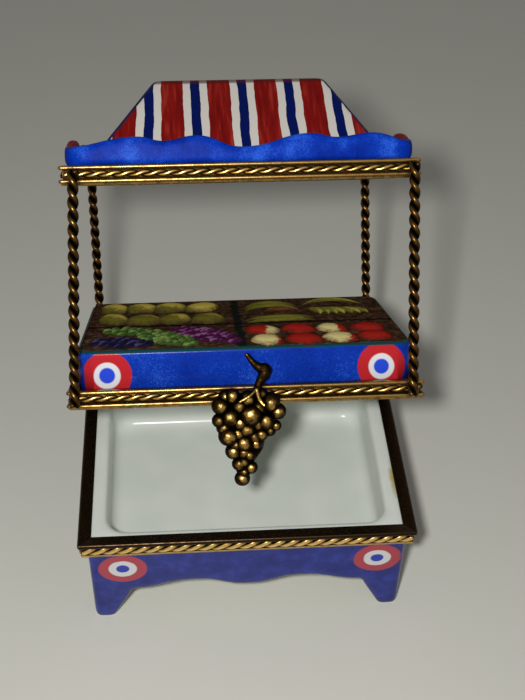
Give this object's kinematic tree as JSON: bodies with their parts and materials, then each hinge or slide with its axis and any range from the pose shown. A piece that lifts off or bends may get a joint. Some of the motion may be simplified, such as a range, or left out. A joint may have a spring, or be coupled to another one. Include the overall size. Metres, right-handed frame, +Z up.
{
  "type": "hinged porcelain trinket box shaped as a market fruit stall",
  "caption": "Small footed porcelain box with brass mounts; its hinged lid is a sloping fruit display under a striped awning on twisted wire posts, with a grape-cluster clasp.",
  "frame": {"origin": "under the middle of the whole open piece, on the surface its feet stand on", "axes": "+X to the box's right as seen from its front, +Y to the back where the hinge is, +Z up"},
  "size_m": [0.057, 0.065, 0.0803],
  "materials": {
    "blue_porcelain_box": "hard-paste porcelain, blue enamel outside, white glaze inside",
    "painted_porcelain_lid": "hard-paste porcelain, blue enamel sides, fruit painted on top",
    "striped_porcelain_awning": "hard-paste porcelain with red, white and blue enamel stripes",
    "gilt_brass": "antiqued gilt, dark in the hollows"
  },
  "bodies": {
    "base": {"base_box": "blue_porcelain_box", "base_rim_front": "gilt_brass", "base_rim_back": "gilt_brass", "base_rim_left": "gilt_brass", "base_rim_right": "gilt_brass", "hinge_base_knuckles": "gilt_brass", "hinge_pin": "gilt_brass"},
    "lid": {"lid_display": "painted_porcelain_lid", "lid_rim_front": "gilt_brass", "lid_rim_back": "gilt_brass", "lid_rim_left": "gilt_brass", "lid_rim_right": "gilt_brass", "hinge_lid_knuckle": "gilt_brass", "grape_clasp": "gilt_brass", "post_front_left": "gilt_brass", "post_front_right": "gilt_brass", "post_back_left": "gilt_brass", "post_back_right": "gilt_brass", "awning_rim_front": "gilt_brass", "awning_rim_back": "gilt_brass", "awning_rim_left": "gilt_brass", "awning_rim_right": "gilt_brass", "awning_roof": "striped_porcelain_awning"}
  },
  "joints": [
    {"name": "lid_hinge", "type": "hinge", "parent": "base", "child": "lid", "pos_m": [0, 0.01084, 0.022], "axis": [-1, 0, 0], "range_deg": [-34.5, 0]}
  ]
}
